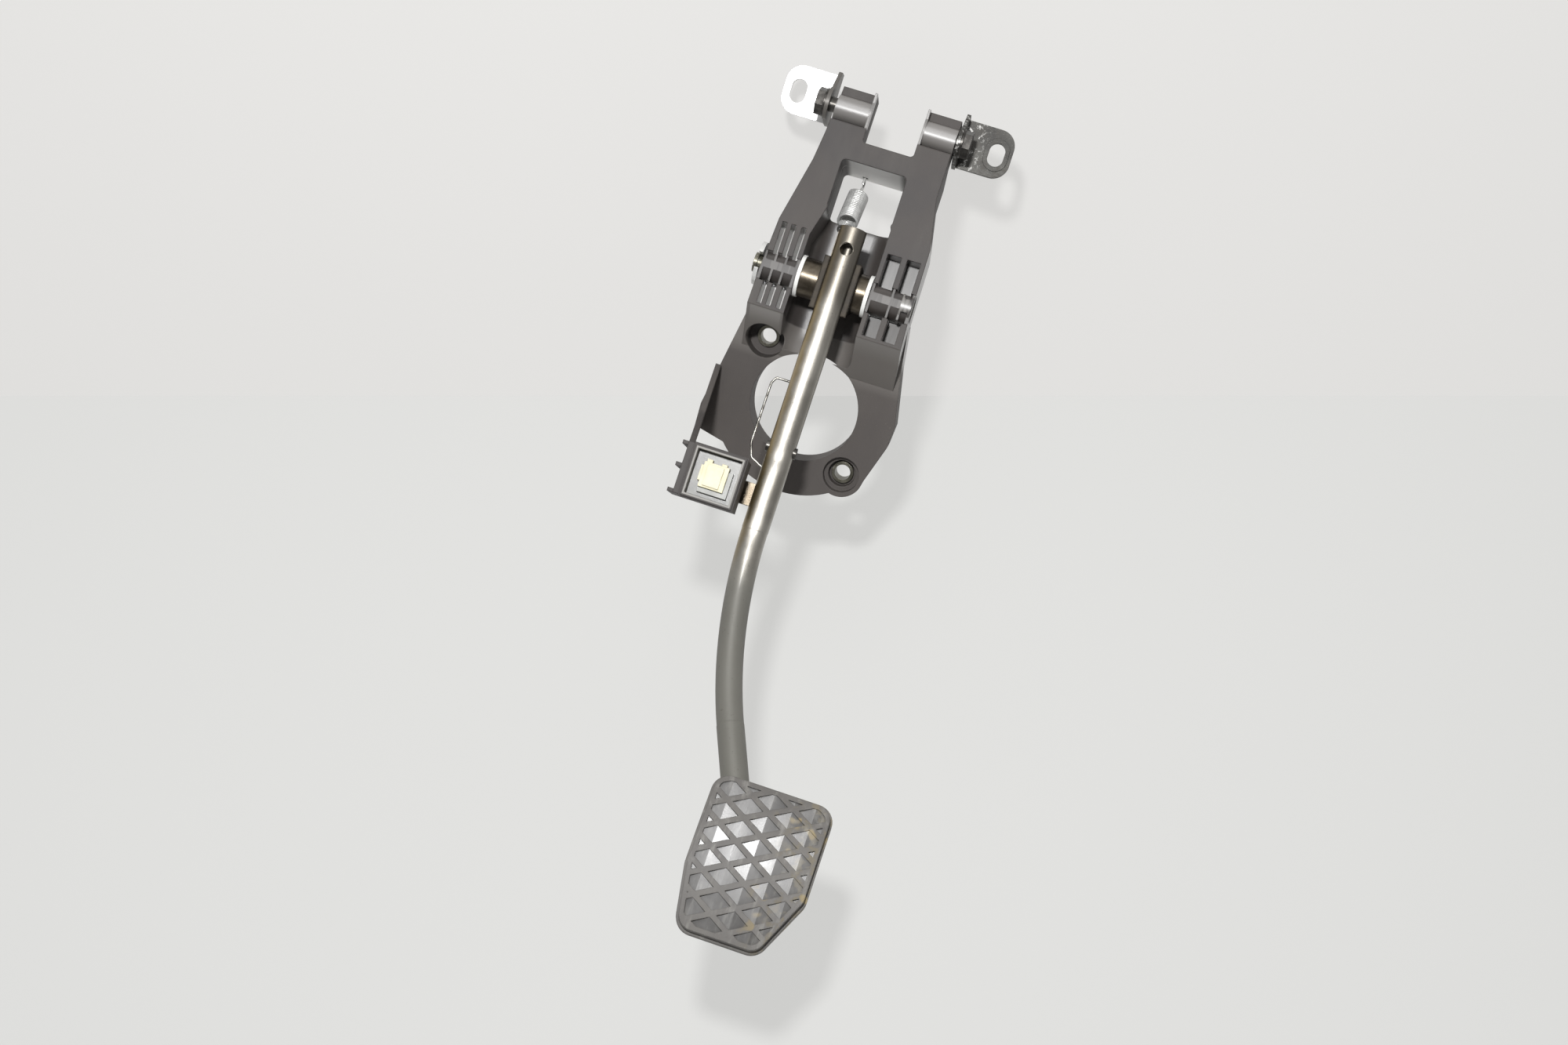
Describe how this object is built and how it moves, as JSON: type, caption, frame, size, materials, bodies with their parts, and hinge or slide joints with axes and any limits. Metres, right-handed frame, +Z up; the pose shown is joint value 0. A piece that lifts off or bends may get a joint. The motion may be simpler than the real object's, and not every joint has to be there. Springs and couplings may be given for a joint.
{
  "type": "brake pedal assembly",
  "caption": "Hanging car brake pedal: dark moulded bracket with booster hole and side mounting tabs, tube arm, ribbed rubber pad, return spring and brake light switch.",
  "frame": {"origin": "centre of the booster hole, on the seat face that meets the firewall", "axes": "+X to the driver's right, +Y forward in the car (away from the driver), +Z up along the neck; the seat face leans 20 degrees, its outward normal is (0, 0.93969, 0.34202)"},
  "size_m": [0.1479, 0.1509, 0.4424],
  "materials": {
    "bracket_plastic": "matt, glass filled",
    "zinc_sheet": "zinc plated sheet, scuffed",
    "dark_bolt": "dark phosphated",
    "zinc_steel": "yellowed zinc",
    "spring_zinc": "bright zinc",
    "arm_steel": "lacquered bare steel",
    "bush_plastic": "natural white",
    "switch_plastic": "black",
    "connector_plastic": "cream",
    "sleeve_plastic": "light grey",
    "pad_rubber": "worn, dusty"
  },
  "bodies": {
    "bracket": {"pedal_bracket": "bracket_plastic", "left_mount_tab": "zinc_sheet", "right_mount_tab": "zinc_sheet", "left_tab_bolt": "dark_bolt", "right_tab_bolt": "dark_bolt", "left_ear_insert": "zinc_steel", "right_ear_insert": "zinc_steel", "upper_stud_sleeve": "zinc_steel", "lower_stud_sleeve": "zinc_steel", "pivot_pin": "zinc_steel", "pivot_clip": "spring_zinc", "return_spring": "spring_zinc", "switch_body": "switch_plastic", "switch_connector": "connector_plastic", "switch_lock_sleeve": "sleeve_plastic"},
    "pedal": {"left_bush": "bush_plastic", "right_bush": "bush_plastic", "pivot_tube": "arm_steel", "pedal_arm": "arm_steel", "left_saddle_plate": "arm_steel", "right_saddle_plate": "arm_steel", "spring_lug": "arm_steel", "switch_tab": "arm_steel", "pushrod_pin": "zinc_steel", "wire_clip": "spring_zinc", "pad_plate": "arm_steel", "pad_rubber": "pad_rubber"},
    "plunger": {"switch_plunger": "connector_plastic"}
  },
  "joints": [
    {"name": "pedal_pivot", "type": "hinge", "parent": "bracket", "child": "pedal", "pos_m": [0, -0.046, 0.0567], "axis": [1, 0, 0], "range_deg": [0, 18], "stiffness_Nm_per_rad": 2, "springref_deg": -28.65, "deforming": ["return_spring"]},
    {"name": "plunger_slide", "type": "slide", "parent": "bracket", "child": "plunger", "axis": [0, -1, 0], "range_m": [0, 0.004], "stiffness_N_per_m": 150, "springref_m": -0.002}
  ]
}
